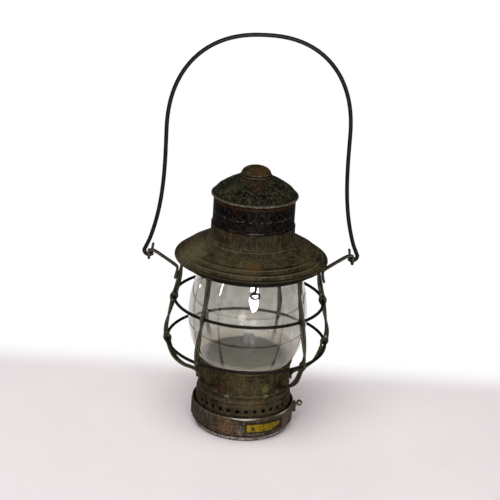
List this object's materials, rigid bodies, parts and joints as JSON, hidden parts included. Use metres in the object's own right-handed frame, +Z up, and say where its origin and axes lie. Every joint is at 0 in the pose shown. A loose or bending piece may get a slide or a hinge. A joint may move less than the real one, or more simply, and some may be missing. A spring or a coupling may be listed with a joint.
{
  "type": "railroad lantern",
  "caption": "Railroad hand lantern: clear globe in a wire guard, hinged brimmed hood, perforated neck and collar, twist-off oil font with burner, swinging wire bail.",
  "frame": {"origin": "centre of the foot at the surface that the lantern stands on", "axes": "+Z up along the lantern's axis, -Y towards the front with the lid latch, +X towards the right ear"},
  "size_m": [0.2044, 0.1542, 0.3834],
  "materials": {
    "olive_sheet": "aged olive brown tinned sheet with rust stains",
    "base_sheet": "worn brown and grey sheet with a bright rubbed edge",
    "sooty_sheet": "soot black sheet with a rusty top edge",
    "cap_sheet": "dark olive sheet with brown patches",
    "rusty_sheet": "rusty orange brown sheet",
    "inner_sheet": "dull grey brown tinned sheet",
    "olive_wire": "aged olive brown wire",
    "dark_wire": "dark aged iron wire",
    "burner_brass": "dull tarnished brass",
    "pin_brass": "tarnished brass with rust",
    "yellow_label": "faded yellow strip with worn edges",
    "wick_cotton": "woven cotton, charred at the top",
    "clear_glass": "clear blown glass"
  },
  "bodies": {
    "frame": {"base_collar": "olive_sheet", "glass_globe": "clear_glass", "guard_top_ring": "dark_wire", "guard_upper_ring": "dark_wire", "guard_lower_ring": "dark_wire", "guard_front_left": "olive_wire", "guard_front_right": "olive_wire", "guard_side_left": "olive_wire", "guard_side_right": "olive_wire", "guard_rear_left": "olive_wire", "guard_rear_right": "olive_wire", "bail_ear_left": "olive_wire", "bail_ear_right": "olive_wire", "hinge_bracket": "olive_sheet", "hinge_pin": "dark_wire"},
    "hood": {"hood_brim": "olive_sheet", "vent_neck": "sooty_sheet", "hood_cap": "cap_sheet", "cap_button": "rusty_sheet", "globe_retainer": "olive_sheet", "hinge_leaf": "olive_sheet", "latch_bracket": "olive_sheet"},
    "latch": {"lid_latch": "dark_wire"},
    "bail": {"bail": "dark_wire"},
    "font": {"font_base": "base_sheet", "font_pot": "inner_sheet", "font_top": "inner_sheet", "burner_cap": "burner_brass", "wick_tube": "burner_brass", "label_plate": "yellow_label", "lock_lug": "olive_sheet"},
    "lock_pin": {"lock_pin": "pin_brass"},
    "wick_wheel": {"wick_wheel": "burner_brass"},
    "wick": {"wick": "wick_cotton"}
  },
  "joints": [
    {"name": "hood_open", "type": "hinge", "parent": "frame", "child": "hood", "pos_m": [0, 0.0726, 0.1665], "axis": [-1, 0, 0], "range_deg": [0, 100]},
    {"name": "latch_pull", "type": "hinge", "parent": "hood", "child": "latch", "pos_m": [0, -0.0665, 0.1704], "axis": [-1, 0, 0], "range_deg": [0, 12], "stiffness_Nm_per_rad": 0.02},
    {"name": "bail_swing", "type": "hinge", "parent": "frame", "child": "bail", "pos_m": [0, 0, 0.17], "axis": [1, 0, 0], "range_deg": [-135, 135]},
    {"name": "font_twist", "type": "hinge", "parent": "frame", "child": "font", "pos_m": [0, 0, 0], "axis": [0, 0, 1], "range_deg": [0, 22]},
    {"name": "lock_pull", "type": "slide", "parent": "font", "child": "lock_pin", "axis": [0.8191, 0, 0.5736], "range_m": [0, 0.004]},
    {"name": "wick_turn", "type": "hinge", "parent": "font", "child": "wick_wheel", "pos_m": [0.0057, 0, 0.0862], "axis": [0, 1, 0], "range_deg": [-120, 120]},
    {"name": "wick_lift", "type": "slide", "parent": "font", "child": "wick", "axis": [0, 0, 1], "range_m": [-0.006, 0.006]}
  ],
  "couplings": [
    {"joint": "wick_turn", "follows": "wick_lift", "rad_per_m": 344.8}
  ]
}
